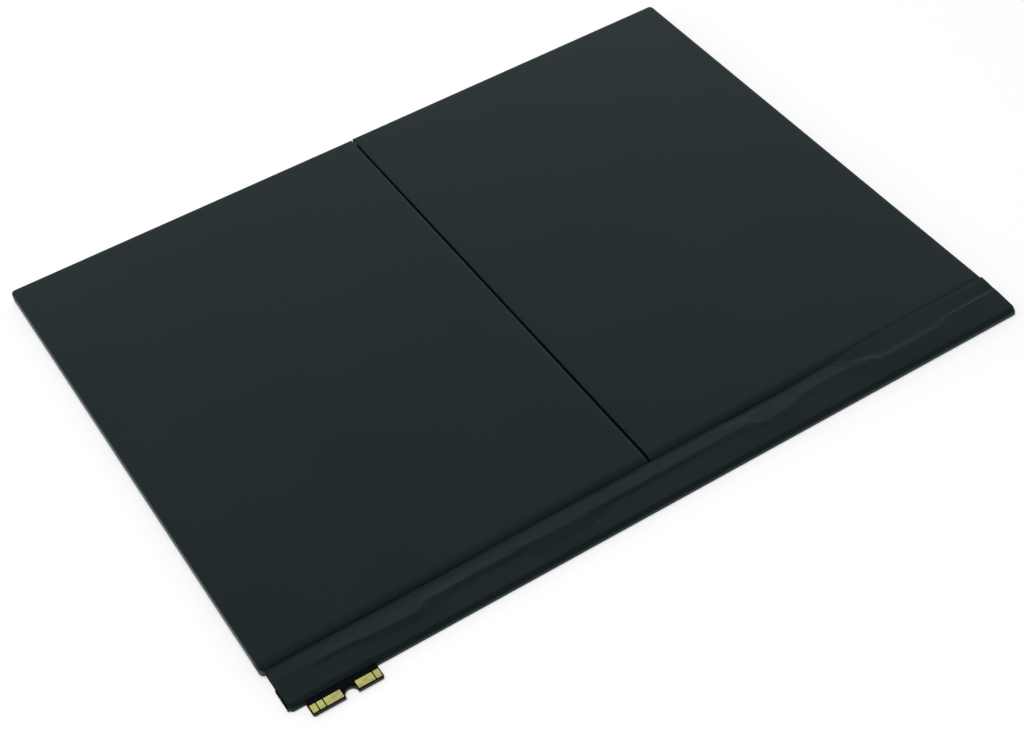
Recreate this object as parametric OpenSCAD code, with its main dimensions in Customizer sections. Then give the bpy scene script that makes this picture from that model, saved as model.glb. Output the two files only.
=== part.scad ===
// Flat tablet battery pack: two thin pouch cells side by side, with a taped terminal strip
// along the front edge that holds the protection board and ends in a contact tongue.
// The origin is at the bottom centre of the whole pack. X runs along the strip, Y to the
// back, Z up, and the pack rests on its underside at Z = 0.

/* [Cells] */
// Width of one cell, with its folded side seams
cell_w = 91.7; // [70:0.1:110]
// Depth of one cell's body, from its front wall to its back edge
cell_d = 130.7; // [90:0.1:170]
// Thickness of a cell
cell_t = 2.6; // [2.4:0.05:5]
// Space between the two cells
cell_gap = 0.6; // [0.4:0.1:3]
// Radius of a cell's outline corners
cell_corner_r = 1.1; // [0.6:0.1:4]
// Radius that rounds a cell's top and bottom edges
cell_edge_r = 0.4; // [0.2:0.05:0.8]
// How far the formed front shoulder runs back from the front wall
shoulder_run = 2.3; // [1:0.1:4]
// How far the front shoulder drops below the top face
shoulder_drop = 1.1; // [0.5:0.05:1.4]
// How much shorter the left cell is at its inner back corner
left_cell_slant = 0.4; // [0:0.1:1]
// Thickness of a folded side seam
seam_t = 0.2; // [0.15:0.05:0.6]
// Height of a folded side seam
seam_h = 1.7; // [1:0.1:2]
// How far a side seam ends short of the cell's corners
seam_end = 3; // [2:0.5:8]

/* [Terraces and tabs] */
// Length of the sealed terrace in front of a cell's body
terrace_l = 3.1; // [2.8:0.1:8]
// Thickness of the sealed terrace
terrace_t = 0.2; // [0.16:0.01:0.4]
// How far the terrace is narrower than the cell at each side
terrace_inset = 1.6; // [0.5:0.1:4]
// Width of a terminal tab
tab_w = 8; // [5:0.5:11]
// Thickness of a terminal tab
tab_t = 0.1; // [0.05:0.01:0.14]
// Distance between the two tabs of one cell, centre to centre
tab_pitch = 26; // [18:1:50]
// Radius of a tab's bends, at mid-thickness
tab_bend_r = 0.2; // [0.12:0.01:0.3]
// How far a tab's sealing film sticks out of the terrace
film_l = 0.55; // [0.3:0.05:0.6]
// How much wider the sealing film is than its tab, at each side
film_side = 1.5; // [0.5:0.1:2.5]

/* [Board] */
// Width of the protection board, front to back
board_d = 5.4; // [4.6:0.1:8]
// Thickness of the protection board
board_t = 0.8; // [0.6:0.05:1.2]
// Distance from the pack's left face to the board's left end
board_left = 0.7; // [0:0.1:4]
// Distance from the pack's right face to the board's right end
board_right = 0.6; // [0.2:0.1:4]
// Distance from the strip's front edge to the board
board_inset = 0.35; // [0.15:0.05:1]
// Space between the board's back edge and the cells' terraces
board_gap = 1.45; // [1.2:0.05:2.5]

/* [Contact tongue] */
// Distance from the pack's left face to the tongue
tongue_left = 4.3; // [2:0.1:20]
// Width of the tongue
tongue_w = 15.7; // [15.4:0.1:22]
// How far the tongue stands out of the strip's front edge
tongue_reach = 3.55; // [3.2:0.05:8]
// Radius of the tongue's front corners
tongue_corner_r = 0.5; // [0.2:0.1:1]
// Radius of the half-round screw notch
notch_r = 1.4; // [1:0.1:1.6]
// Distance from the tongue's left edge to the notch's centre
notch_left = 8.6; // [8.4:0.1:9]
// Depth of the notch's centre behind the tongue's front edge
notch_depth = 0.3; // [0:0.1:1]
// Length of a contact pad, front to back
pad_l = 1.95; // [1.5:0.05:2.6]
// Thickness of a contact pad
pad_t = 0.05; // [0.02:0.01:0.1]
// Space between neighbouring contact pads
pad_gap = 0.25; // [0.1:0.05:0.3]
// Distance from a contact pad to the tongue's side edge and to the notch
pad_edge = 0.25; // [0.1:0.05:0.3]
// Distance from a contact pad to the tongue's front edge
pad_front = 0.35; // [0.1:0.05:0.6]
// Width of a power contact pad
power_pad_w = 3.7; // [3:0.1:3.8]
// Width of a signal contact pad
signal_pad_w = 1.25; // [1:0.05:1.3]

/* [Board components] */
// Size of a tab's weld plate, side to side and front to back
plate_size = [9, 2.6]; // [2:0.1:12]
// Thickness of a weld plate
plate_t = 0.15; // [0.1:0.01:0.3]
// Distance from a weld plate to the board's back edge
plate_edge = 0.3; // [0.1:0.05:1]
// Height of the tallest component above the board
part_h = 0.5; // [0.3:0.05:0.8]
// Size of a power transistor, side to side and front to back
transistor_size = [3.3, 2.4]; // [1.5:0.1:4]
// Size of the fuel gauge chip, side to side and front to back
gauge_size = [3, 2.5]; // [1.5:0.1:4]
// Size of the protection chip, side to side and front to back
guard_size = [2.2, 2]; // [1:0.1:4]
// Size of the current-sensing resistor, side to side and front to back
shunt_size = [3.2, 1.6]; // [1:0.1:4]
// Size of the chip fuse, side to side and front to back
fuse_size = [3.2, 2.2]; // [1:0.1:4]
// Size of a small chip capacitor, resistor or thermistor, side to side and front to back
chip_size = [1, 0.5]; // [0.3:0.1:1.5]
// Space between neighbouring components
part_gap = 0.8; // [0.3:0.1:2]
// Distance from one pair of small chips to the next
chip_pitch = 1.3; // [0.8:0.1:2]
// Number of pairs of small capacitors at each side of the transistors
capacitor_pairs = 3; // [1:1:4]
// Number of pairs of small resistors at each side of the capacitors
resistor_pairs = 3; // [1:1:4]
// Distance from an outer weld plate to the thermistor beside it
thermistor_out = 11; // [2:0.5:14]
// Space between the two small chips of a pair
chip_row_gap = 0.2; // [0.1:0.05:0.4]
// Height of a chip resistor
resistor_h = 0.3; // [0.2:0.05:0.4]

/* [Insulation and foam] */
// Thickness of the insulating tape on a terrace
insulator_t = 0.06; // [0.04:0.01:0.1]
// Thickness of the insulating tape over the components
cover_t = 0.05; // [0.03:0.01:0.1]
// Width of the insulating tape over the components, front to back
cover_d = 3.6; // [2.6:0.1:4]
// Width of a foam strip, front to back
foam_d = 2.6; // [1.5:0.1:3]
// Thickness of a foam strip
foam_t = 1.1; // [0.5:0.05:2]
// Distance from a foam strip to the ends of its cell
foam_end = 4; // [2:0.5:10]

/* [Wrapping tapes] */
// Thickness of the black tapes
tape_t = 0.08; // [0.05:0.01:0.15]
// Distance from the pack's left face to the wrapping tape's open left end
tape_left = 1; // [0.8:0.1:3]
// How far the wrapping tape stands out at the pack's right face
tape_right = 0.4; // [0.2:0.05:1]
// Radius of the wrapping tape's front right corner
tape_corner_r = 1.1; // [0.5:0.1:2]
// How far the wrapping tape runs back under the cells
tape_under = 4.4; // [2:0.1:20]
// Depth of the wrapping tape's rounded front edge
tape_front_r = 0.8; // [0.6:0.1:1.4]
// Height of the fold along the terraces, above the foam
fold_h = 0.64; // [0.3:0.02:0.9]
// Rise of the tape from its front edge to the fold's foot
deck_rise = 0.12; // [0:0.02:0.4]
// Width of the tape that joins the two cells below the gap
bridge_w = 24; // [10:1:40]
// Distance from the joining tape to the wrapping tape and to the back edge
bridge_end = 0.5; // [0.2:0.1:30]

/* [Hidden] */
$fn = 48;
arc_steps = 5;
station_pitch = 3.5;
// Clearances: round a fitted piece, under the wrapping tape, and round the tongue's slot
fit = 0.02;
part_clear = 0.06;
slot_clear = 0.15;
// Distances by which a piece ends short of what it lies on
tab_end = 0.2;
cover_back = 0.1;
cover_end = 1;
insulator_end = 0.1;
// Length that a piece runs into another of its own node, or a cut runs past a face
lap = 1;

pack_w = 2 * cell_w + cell_gap;
strip_d = board_inset + board_d + board_gap + terrace_l;
pack_d = strip_d + cell_d;
gap_x = -tape_right / 2;
left_x = gap_x - pack_w / 2;
right_x = gap_x + pack_w / 2;
front_y = (tongue_reach - pack_d) / 2;
body_y = front_y + strip_d;
back_y = body_y + cell_d;
terrace_y = body_y - terrace_l;

cell_top = tape_t + cell_t;
terrace_top = tape_t + terrace_t;
insulator_top = terrace_top + insulator_t;
foam_top = insulator_top + foam_t;
board_top = tape_t + board_t;
plate_top = board_top + plate_t;
cover_z = board_top + part_h;
cover_top = cover_z + cover_t;

board_x0 = left_x + board_left;
board_x1 = right_x - board_right;
board_y0 = front_y + board_inset;
board_y1 = board_y0 + board_d;
tongue_x0 = left_x + tongue_left;
tongue_x1 = tongue_x0 + tongue_w;
tongue_y = front_y - tongue_reach;
notch_x = tongue_x0 + notch_left;
notch_y = tongue_y + notch_depth;
cover_y1 = board_y1 - cover_back;
cover_y0 = cover_y1 - cover_d;
row_y = (cover_y0 + cover_y1) / 2;

cell_mid = (cell_w + cell_gap) / 2;
left_mid = gap_x - cell_mid;
right_mid = gap_x + cell_mid;
left_tabs = [left_mid - tab_pitch / 2, left_mid + tab_pitch / 2];
right_tabs = [right_mid - tab_pitch / 2, right_mid + tab_pitch / 2];
all_tabs = concat(left_tabs, right_tabs);
plate_y1 = board_y1 - plate_edge;
plate_y0 = plate_y1 - plate_size.y;
tab_y = terrace_y - film_l - fit;
tab_z = tape_t + terrace_t / 2;

tape_x0 = left_x + tape_left;
tape_x1 = right_x + tape_right;
deck_z = cover_top + part_clear + tape_t;
foot_z = deck_z + deck_rise;
ridge_z = foam_top + fold_h;
under_r = board_inset - 0.05;

// How far up the cells' shoulders the wrapping tape's back edge lies, along the strip from 0 to
// 1: 90 is at the shoulder's foot, and smaller angles are higher
climb_line = [[0, 90], [0.2, 88], [0.33, 76], [0.59, 76], [0.62, 88], [0.67, 88], [0.71, 78],
    [0.755, 66], [0.78, 44], [0.84, 32], [1, 30]];
// Where the tape's hollow lies behind the terraces' front edges, and how far it lies below the
// ridge, along the strip from 0 to 1
hollow_line = [[0, 1.3], [0.6, 1.3], [0.75, 2], [0.84, 1.6], [1, 1.5]];
hollow_drop = [[0, 0.2], [0.2, 0.28], [0.6, 0.16], [0.67, 0.26], [0.75, 0.1], [1, 0.1]];
// Where the fold's ridge lies behind the terraces' front edges, and its foot behind the board's
// back edge, along the strip from 0 to 1
ridge_line = [[0, -0.3], [0.08, -0.8], [0.125, -2.1], [0.175, -2.2], [0.22, -0.5], [0.37, -0.7],
    [0.41, -0.3], [0.57, -0.1], [0.6, 0.3], [0.65, -2.2], [0.69, 0], [0.74, 0.5], [0.78, 0],
    [0.8, -1.5], [0.9, -1.5], [0.92, -0.3], [1, -0.2]];
foot_line = [[0, -0.2], [0.1, -0.6], [0.125, -2.4], [0.18, -2.5], [0.21, -0.7], [0.31, -0.6],
    [0.34, -2.7], [0.39, -2.7], [0.42, -0.6], [0.6, -0.1], [0.65, -1.6], [0.71, 0.6], [0.77, 0.6],
    [0.8, -0.9], [0.9, -0.9], [0.92, 0.1], [1, 0.6]];

// Where the components stand: beside the pack's middle, beside each cell's middle, and outside
// the outer weld plates
transistor_x = (part_gap + transistor_size.x) / 2;
fuse_x = left_mid - (part_gap + fuse_size.x) / 2;
shunt_x = left_mid + (part_gap + shunt_size.x) / 2;
gauge_x = right_mid - (part_gap + gauge_size.x) / 2;
guard_x = right_mid + (part_gap + guard_size.x) / 2;
chip_x = transistor_size.x + part_gap;

function arc(cx, cy, r, from, to) =
    [for (i = [0:arc_steps]) let (a = from + (to - from) * i / arc_steps)
        [cx + r * cos(a), cy + r * sin(a)]];

// A rectangle with round corners, counter-clockwise
function round_box(x0, x1, y0, y1, r) = concat(
    arc(x1 - r, y1 - r, r, 0, 90), arc(x0 + r, y1 - r, r, 90, 180),
    arc(x0 + r, y0 + r, r, 180, 270), arc(x1 - r, y0 + r, r, 270, 360));

// A closed body through a stack of outlines, each given as its height and its points
module loft(rings) {
    count = len(rings[0][1]);
    last = len(rings) - 1;
    points = [for (ring = rings) for (p = ring[1]) [p.x, p.y, ring[0]]];
    sides = [for (k = [0:last - 1]) for (i = [0:count - 1]) let (j = (i + 1) % count)
        [k * count + i, (k + 1) * count + i, (k + 1) * count + j, k * count + j]];
    bottom = [for (i = [0:count - 1]) i];
    top = [for (i = [count - 1:-1:0]) last * count + i];
    polyhedron(points, concat([bottom, top], sides), convexity = 4);
}

// How far a cell's outline draws in at the rounded top and bottom edges, at a depth below them
function edge_inset(depth) =
    depth >= cell_edge_r ? 0
    : cell_edge_r - sqrt(cell_edge_r * cell_edge_r - pow(cell_edge_r - depth, 2));

// How far the front shoulder draws in at a depth below the top face
function shoulder_inset(depth) =
    depth >= shoulder_drop ? 0
    : shoulder_run * (1 - sqrt(1 - pow(1 - depth / shoulder_drop, 2)));

function cell_outline(x0, x1, z, slant) =
    let (low = edge_inset(z - tape_t), high = edge_inset(cell_top - z), inset = max(low, high),
        front = max(low, shoulder_inset(cell_top - z)))
    [for (p = round_box(x0 + inset, x1 - inset, body_y + front, back_y - inset, cell_corner_r))
        [p.x, p.y - slant * (p.x - x0) / (x1 - x0) * (p.y - body_y) / cell_d]];

// One sealed pouch: the formed body, the terrace in front and the folded seams at its sides
module pouch_cell(x0, x1, slant) {
    depths = [0, 0.04, 0.12, 0.25, 0.45, 0.7, 1];
    lows = [0, 0.25, 1];
    heights = concat([for (d = lows) tape_t + d * cell_edge_r],
        [for (i = [len(depths) - 1:-1:0]) cell_top - depths[i] * shoulder_drop]);
    loft([for (z = heights) [z, cell_outline(x0 + seam_t, x1 - seam_t, z, slant)]]);
    translate([0, 0, tape_t])
        linear_extrude(terrace_t)
            polygon(round_box(x0 + terrace_inset, x1 - terrace_inset, terrace_y,
                body_y + 2 * cell_corner_r, cell_corner_r));
    for (x = [x0, x1 - 2 * seam_t])
        translate([x, back_y - seam_end - slant, tape_t + cell_edge_r])
            rotate([90, 0, 0])
                linear_extrude(cell_d - 2 * seam_end - slant)
                    polygon(round_box(0, 2 * seam_t, 0, seam_h, seam_t / 2));
}

module cell_left() {
    color("#262e30") pouch_cell(left_x, left_x + cell_w, left_cell_slant);
}

module cell_right() {
    color("#2a3234") pouch_cell(right_x - cell_w, right_x, 0);
}

// A tab leaves the terrace, bends up behind the board and lies on its weld plate
module terminal_tab(x) {
    half = tab_t / 2;
    high = plate_top + half;
    low_bend = [tab_y, tab_z + tab_bend_r];
    high_bend = [tab_y - 2 * tab_bend_r, high - tab_bend_r];
    outer = tab_bend_r + half;
    inner = tab_bend_r - half;
    end_y = plate_y0 + tab_end;
    profile = concat(
        [[terrace_y, tab_z - half]],
        arc(low_bend.x, low_bend.y, outer, 270, 180),
        arc(high_bend.x, high_bend.y, inner, 0, 90),
        [[end_y, plate_top], [end_y, plate_top + tab_t]],
        arc(high_bend.x, high_bend.y, outer, 90, 0),
        arc(low_bend.x, low_bend.y, inner, 180, 270),
        [[terrace_y, tab_z + half]]);
    translate([x - tab_w / 2, 0, 0])
        rotate([90, 0, 90])
            linear_extrude(tab_w)
                polygon(profile);
}

module left_positive_tab() {
    color("#c9ccd0") terminal_tab(left_tabs[0]);
}

module left_negative_tab() {
    color("#a9a79f") terminal_tab(left_tabs[1]);
}

module right_positive_tab() {
    color("#c9ccd0") terminal_tab(right_tabs[0]);
}

module right_negative_tab() {
    color("#a9a79f") terminal_tab(right_tabs[1]);
}

module tab_sealing_films() {
    film_w = tab_w + 2 * film_side;
    color("#d8d4c4")
        for (x = all_tabs)
            difference() {
                translate([x - film_w / 2, terrace_y - film_l, tape_t])
                    cube([film_w, film_l, terrace_t]);
                translate([x - tab_w / 2, terrace_y - film_l - lap, tab_z - tab_t / 2])
                    cube([tab_w, film_l + 2 * lap, tab_t]);
            }
}

// The tongue's outline: a plate with round front corners, open at its half-round screw notch
module tongue_outline() {
    difference() {
        polygon(concat(
            [[tongue_x1, board_y0 + lap], [tongue_x0, board_y0 + lap]],
            arc(tongue_x0 + tongue_corner_r, tongue_y + tongue_corner_r, tongue_corner_r, 180, 270),
            arc(tongue_x1 - tongue_corner_r, tongue_y + tongue_corner_r, tongue_corner_r, 270, 360)));
        translate([notch_x, notch_y])
            circle(notch_r);
        translate([notch_x - notch_r, tongue_y - lap])
            square([2 * notch_r, notch_depth + lap]);
    }
}

module protection_board() {
    color("#14191a")
        translate([0, 0, tape_t])
            linear_extrude(board_t) {
                translate([board_x0, board_y0])
                    square([board_x1 - board_x0, board_d]);
                tongue_outline();
            }
}

module on_board(x, y, size, h) {
    translate([x - size.x / 2, y - size.y / 2, board_top])
        cube([size.x, size.y, h]);
}

module weld_plates() {
    color("#b4b2aa")
        for (x = all_tabs)
            on_board(x, (plate_y0 + plate_y1) / 2, plate_size, plate_t);
}

module contact_pad(x, w) {
    translate([x, tongue_y + pad_front, board_top])
        cube([w, pad_l, pad_t]);
}

module power_contact_pads() {
    left_start = notch_x - notch_r - pad_edge - power_pad_w;
    right_start = notch_x + notch_r + pad_edge;
    color("#b8ad72") {
        contact_pad(left_start, power_pad_w);
        contact_pad(right_start, power_pad_w);
    }
}

module signal_contact_pads() {
    pitch = signal_pad_w + pad_gap;
    left_start = notch_x - notch_r - pad_edge - power_pad_w;
    right_start = notch_x + notch_r + pad_edge + power_pad_w + pad_gap;
    color("#b8ad72") {
        for (i = [1, 2])
            contact_pad(left_start - i * pitch, signal_pad_w);
        contact_pad(right_start, signal_pad_w);
    }
}

module power_transistors() {
    color("#1c1c1e")
        for (side = [-1, 1])
            on_board(gap_x + side * transistor_x, row_y, transistor_size, part_h);
}

module fuel_gauge_chip() {
    color("#202022") on_board(gauge_x, row_y, gauge_size, part_h);
}

module protection_chip() {
    color("#232326") on_board(guard_x, row_y, guard_size, part_h);
}

module sense_resistor() {
    color("#2b2b2b") on_board(shunt_x, row_y, shunt_size, part_h);
}

module chip_fuse() {
    color("#d9d6cc") on_board(fuse_x, row_y, fuse_size, part_h);
}

// Two small chips one behind the other, at places counted outwards from the transistors
module chip_pairs(from, count, h) {
    for (i = [from:from + count - 1])
        for (side = [-1, 1])
            for (row = [-1, 1])
                on_board(gap_x + side * (chip_x + chip_pitch * (i + 0.5)),
                    row_y + row * (chip_size.x + chip_row_gap) / 2, [chip_size.y, chip_size.x], h);
}

module chip_capacitors() {
    color("#b08d63") chip_pairs(0, capacitor_pairs, part_h);
}

module chip_resistors() {
    color("#17171a") chip_pairs(capacitor_pairs, resistor_pairs, resistor_h);
}

module thermistors() {
    out = plate_size.x / 2 + thermistor_out;
    color("#3b4a3a")
        for (x = [left_tabs[0] - out, right_tabs[1] + out])
            on_board(x, row_y, chip_size, part_h);
}

module terrace_insulator(x0) {
    color("#c98f2a")
        translate([x0 + terrace_inset, terrace_y + insulator_end, terrace_top])
            cube([cell_w - 2 * terrace_inset, terrace_l - 2 * insulator_end, insulator_t]);
}

module left_terrace_insulator() {
    terrace_insulator(left_x);
}

module right_terrace_insulator() {
    terrace_insulator(right_x - cell_w);
}

module foam_strip(x0) {
    mid_y = (terrace_y + body_y) / 2;
    color("#3a3d40")
        translate([x0 + foam_end, mid_y, insulator_top])
            rotate([90, 0, 90])
                linear_extrude(cell_w - 2 * foam_end)
                    polygon(round_box(-foam_d / 2, foam_d / 2, 0, foam_t, foam_t / 5));
}

module left_foam_strip() {
    foam_strip(left_x);
}

module right_foam_strip() {
    foam_strip(right_x - cell_w);
}

module component_cover_tape() {
    color("#c98f2a")
        translate([board_x0 + cover_end, cover_y0, cover_z])
            cube([board_x1 - board_x0 - 2 * cover_end, cover_d, cover_t]);
}

// The wrapping tape's outer face in section, from its back edge on the cells' shoulder, over
// the strip, round the front edge and back below the cells. u runs from 0 to 1 along the strip.
function tape_section(u, front_shift) =
    let (
        off = tape_t + 2 * fit,
        climb = lookup(u, climb_line),
        edge = [body_y + shoulder_run - (shoulder_run + off) * sin(climb),
            cell_top - shoulder_drop + (shoulder_drop + off) * cos(climb)],
        hollow = [terrace_y + lookup(u, hollow_line), ridge_z - lookup(u, hollow_drop)],
        ridge = [terrace_y + lookup(u, ridge_line), ridge_z],
        foot = [board_y1 + lookup(u, foot_line), foot_z],
        front = [front_y + front_shift + tape_front_r, deck_z],
        steps = 4,
        low = 0.45 * deck_z
    )
    concat(
        [edge],
        [for (i = [0:steps - 1]) blend(hollow, ridge, i / steps)],
        [for (i = [0:steps - 1]) blend(ridge, foot, i / steps)],
        [foot],
        [for (i = [0:steps - 1]) let (a = 90 * i / steps)
            [front.x - tape_front_r * sin(a), low + (deck_z - low) * cos(a)]],
        [for (i = [0:steps]) let (a = 90 * i / steps)
            [front_y + front_shift + under_r * (1 - cos(a)), under_r * (1 - sin(a))]],
        [[front_y + strip_d + tape_under, 0]]);

// From one point to the next, level at both
function blend(from, to, s) = let (ease = (1 - cos(180 * s)) / 2)
    [from.x + (to.x - from.x) * s, from.y + (to.y - from.y) * ease];

// A section moved inwards by the tape's thickness
function inner_section(section) =
    let (last = len(section) - 1)
    [for (i = [0:last])
        let (along = section[min(i + 1, last)] - section[max(i - 1, 0)])
        section[i] + tape_t / norm(along) * [-along.y, along.x]];

module strip_wrapping_tape() {
    length = tape_x1 - tape_x0;
    straight = length - tape_corner_r;
    count = ceil(straight / station_pitch);
    stations = concat([for (i = [0:count - 1]) straight * i / count],
        [for (i = [0:arc_steps]) straight + tape_corner_r * sin(90 * i / arc_steps)]);
    shifts = [for (s = stations) s <= straight ? 0
        : tape_corner_r - sqrt(max(0, pow(tape_corner_r, 2) - pow(s - straight, 2)))];
    rows = len(stations);
    outer = [for (i = [0:rows - 1]) tape_section(stations[i] / length, shifts[i])];
    wide = len(outer[0]);
    points = concat(
        [for (i = [0:rows - 1]) for (p = outer[i]) [tape_x0 + stations[i], p.x, p.y]],
        [for (i = [0:rows - 1]) for (p = inner_section(outer[i]))
            [tape_x0 + stations[i] * (1 - tape_t / length), p.x, p.y]]);
    in = rows * wide;
    last = (rows - 1) * wide;
    skins = [for (i = [0:rows - 2]) for (j = [0:wide - 2]) let (k = i * wide + j)
        each [[k, k + wide, k + wide + 1, k + 1], [in + k, in + k + 1, in + k + wide + 1, in + k + wide]]];
    open_end = [for (j = [0:wide - 2]) [j, j + 1, in + j + 1, in + j]];
    back_edges = [for (i = [0:rows - 2]) let (k = i * wide, m = k + wide - 1)
        each [[k + wide, k, in + k, in + k + wide], [m, m + wide, in + m + wide, in + m]]];
    closed_end = [[for (j = [wide - 1:-1:0]) last + j], [for (j = [0:wide - 1]) in + last + j],
        [last + wide - 1, last, in + last, in + last + wide - 1]];
    color("#22292b")
        difference() {
            polyhedron(points, concat(skins, open_end, back_edges, closed_end), convexity = 8);
            translate([tongue_x0 - slot_clear, front_y - lap, tape_t])
                cube([tongue_w + 2 * slot_clear, lap + board_inset, board_t + slot_clear]);
        }
}

module cell_joining_tape() {
    from = body_y + tape_under + bridge_end;
    color("#1d2324")
        translate([gap_x - bridge_w / 2, from, 0])
            cube([bridge_w, back_y - bridge_end - from, tape_t]);
}

cell_left();
cell_right();
left_positive_tab();
left_negative_tab();
right_positive_tab();
right_negative_tab();
tab_sealing_films();
protection_board();
weld_plates();
power_contact_pads();
signal_contact_pads();
power_transistors();
fuel_gauge_chip();
protection_chip();
sense_resistor();
chip_fuse();
chip_capacitors();
chip_resistors();
thermistors();
left_terrace_insulator();
right_terrace_insulator();
left_foam_strip();
right_foam_strip();
component_cover_tape();
strip_wrapping_tape();
cell_joining_tape();
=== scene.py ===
import math

import bmesh
import bpy
import numpy as np
from mathutils import Matrix, Vector, noise


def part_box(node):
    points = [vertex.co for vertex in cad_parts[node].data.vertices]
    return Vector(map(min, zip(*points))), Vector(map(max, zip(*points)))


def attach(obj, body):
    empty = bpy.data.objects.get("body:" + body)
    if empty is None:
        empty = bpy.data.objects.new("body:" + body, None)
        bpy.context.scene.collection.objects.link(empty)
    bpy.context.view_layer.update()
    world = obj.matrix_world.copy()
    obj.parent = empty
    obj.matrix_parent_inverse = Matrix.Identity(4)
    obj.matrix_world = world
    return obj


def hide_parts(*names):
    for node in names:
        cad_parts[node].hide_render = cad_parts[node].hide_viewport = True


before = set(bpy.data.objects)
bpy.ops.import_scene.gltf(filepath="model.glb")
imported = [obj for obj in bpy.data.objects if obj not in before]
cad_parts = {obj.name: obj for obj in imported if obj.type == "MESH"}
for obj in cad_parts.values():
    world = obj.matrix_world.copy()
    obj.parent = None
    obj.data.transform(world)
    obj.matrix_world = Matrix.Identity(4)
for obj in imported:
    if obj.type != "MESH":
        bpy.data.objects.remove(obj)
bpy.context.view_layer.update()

# The camera stands off the pack's left front corner and looks down across it.
# Its place and lens were worked out from the pack's corners in the photograph.
mm = 0.001
camera_place = Vector((-145.34, -276.585, 308.69)) * mm
camera_turn = math.radians(-27.843)
camera_height = math.radians(46.314)
camera_roll = math.radians(-5.931)
photo_width = 1024
focal_pixels = 1914.5

camera = bpy.data.objects.new("camera", bpy.data.cameras.new("camera"))
bpy.context.scene.collection.objects.link(camera)
camera.data.sensor_fit = "HORIZONTAL"
camera.data.sensor_width = 36
camera.data.lens = focal_pixels / photo_width * camera.data.sensor_width
camera.data.clip_start = 0.01
camera.data.clip_end = 50
camera.matrix_world = (
    Matrix.Translation(camera_place)
    @ Matrix.Rotation(camera_turn, 4, "Z")
    @ Matrix.Rotation(math.pi / 2 - camera_height, 4, "X")
    @ Matrix.Rotation(camera_roll, 4, "Z")
)
bpy.context.scene.camera = camera
bpy.context.scene.view_settings.view_transform = "Standard"


# The pouch cells: two flat bags of black film, each pressed into a shallow box over its stack.
# A bag is sealed at its front terrace and along its sides, and the side seams are folded up.
class Number:
    """A number socket, on which Python's operators add Math nodes."""

    def __init__(self, finish, socket):
        self.finish, self.socket = finish, socket

    def maths(self, operation, *values, clamp=False):
        node = self.finish.add(
            "ShaderNodeMath", {"operation": operation, "use_clamp": clamp}, *values
        )
        return Number(self.finish, node.outputs[0])

    def __add__(self, other):
        return self.maths("ADD", self, other)

    def __sub__(self, other):
        return self.maths("SUBTRACT", self, other)

    def __mul__(self, other):
        return self.maths("MULTIPLY", self, other)

    def __rsub__(self, other):
        return self.maths("SUBTRACT", other, self)

    __radd__ = __add__
    __rmul__ = __mul__

    def clamped(self):
        return self.maths("ADD", self, 0, clamp=True)


class Finish:
    """A material under construction: it adds nodes and joins them to the surface shader."""

    def __init__(self, name):
        self.material = bpy.data.materials.new(name)
        self.material.use_nodes = True
        self.tree = self.material.node_tree
        self.surface = self.tree.nodes["Principled BSDF"]
        self.place = self.add("ShaderNodeTexCoord").outputs["Object"]

    def add(self, kind, settings=None, *values, **named):
        node = self.tree.nodes.new(kind)
        for key, value in (settings or {}).items():
            setattr(node, key, value)
        for index, value in enumerate(values):
            self.put(node.inputs[index], value)
        for key, value in named.items():
            self.put(node.inputs[key.replace("_", " ")], value)
        return node

    def put(self, target, value):
        value = value.socket if isinstance(value, Number) else value
        if isinstance(value, bpy.types.NodeSocket):
            self.tree.links.new(value, target)
        else:
            target.default_value = value

    def noise(self, size, detail=3, rough=0.5, stretch=(1, 1, 1)):
        """Soft noise from 0 to 1 with features about size metres wide."""
        turned = self.add("ShaderNodeMapping", None, self.place, Scale=stretch)
        node = self.add(
            "ShaderNodeTexNoise",
            None,
            Vector=turned.outputs[0],
            Scale=1 / size,
            Detail=detail,
            Roughness=rough,
        )
        return Number(self, node.outputs[0])

    def ramp(self, value, low, high):
        """0 below low, 1 above high and a straight slope between."""
        node = self.add("ShaderNodeMapRange", {"clamp": True}, value, low, high, 0.0, 1.0)
        return Number(self, node.outputs[0])

    def mix(self, factor, first, second):
        node = self.add("ShaderNodeMix", {"data_type": "RGBA"})
        self.put(node.inputs[0], factor)
        self.put(node.inputs[6], first)
        self.put(node.inputs[7], second)
        return node.outputs[2]

    def bump(self, height, depth):
        node = self.add("ShaderNodeBump", None, Strength=1.0, Distance=depth, Height=height)
        self.put(self.surface.inputs["Normal"], node.outputs[0])

    def set(self, **named):
        for key, value in named.items():
            self.put(self.surface.inputs[key.replace("_", " ")], value)


def colour(red, green, blue):
    """A colour written as it is seen on a screen, from 0 to 255, as the shader's light values."""
    shares = [c / 255 for c in (red, green, blue)]
    return [c / 12.92 if c <= 0.04045 else ((c + 0.055) / 1.055) ** 2.4 for c in shares] + [1.0]


def black_film(name, shade, dusty_shade, roughness, grain):
    """Black satin film: very fine grain, faint clouds in colour and gloss, a few dull rubs."""
    finish = Finish(name)
    clouds = finish.noise(35 * mm, 2)
    rubs = finish.ramp(finish.noise(6 * mm, 5, 0.6, (1, 3, 1)), 0.58, 0.75)
    specks = finish.ramp(finish.noise(0.7 * mm, 2), 0.68, 0.8)
    tint = finish.mix(clouds * 0.6 + rubs * 0.12 + specks * 0.1, shade, dusty_shade)
    dull = roughness + (clouds - 0.5) * 0.06 + rubs * 0.03
    finish.set(
        Base_Color=tint,
        Roughness=dull,
        Specular_IOR_Level=0.38,
        Specular_Tint=(0.57, 0.98, 1.0, 1.0),
    )
    finish.bump(finish.noise(0.4 * mm, 3) * 0.5 + finish.noise(2.5 * mm, 2), grain)
    return finish.material


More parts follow.
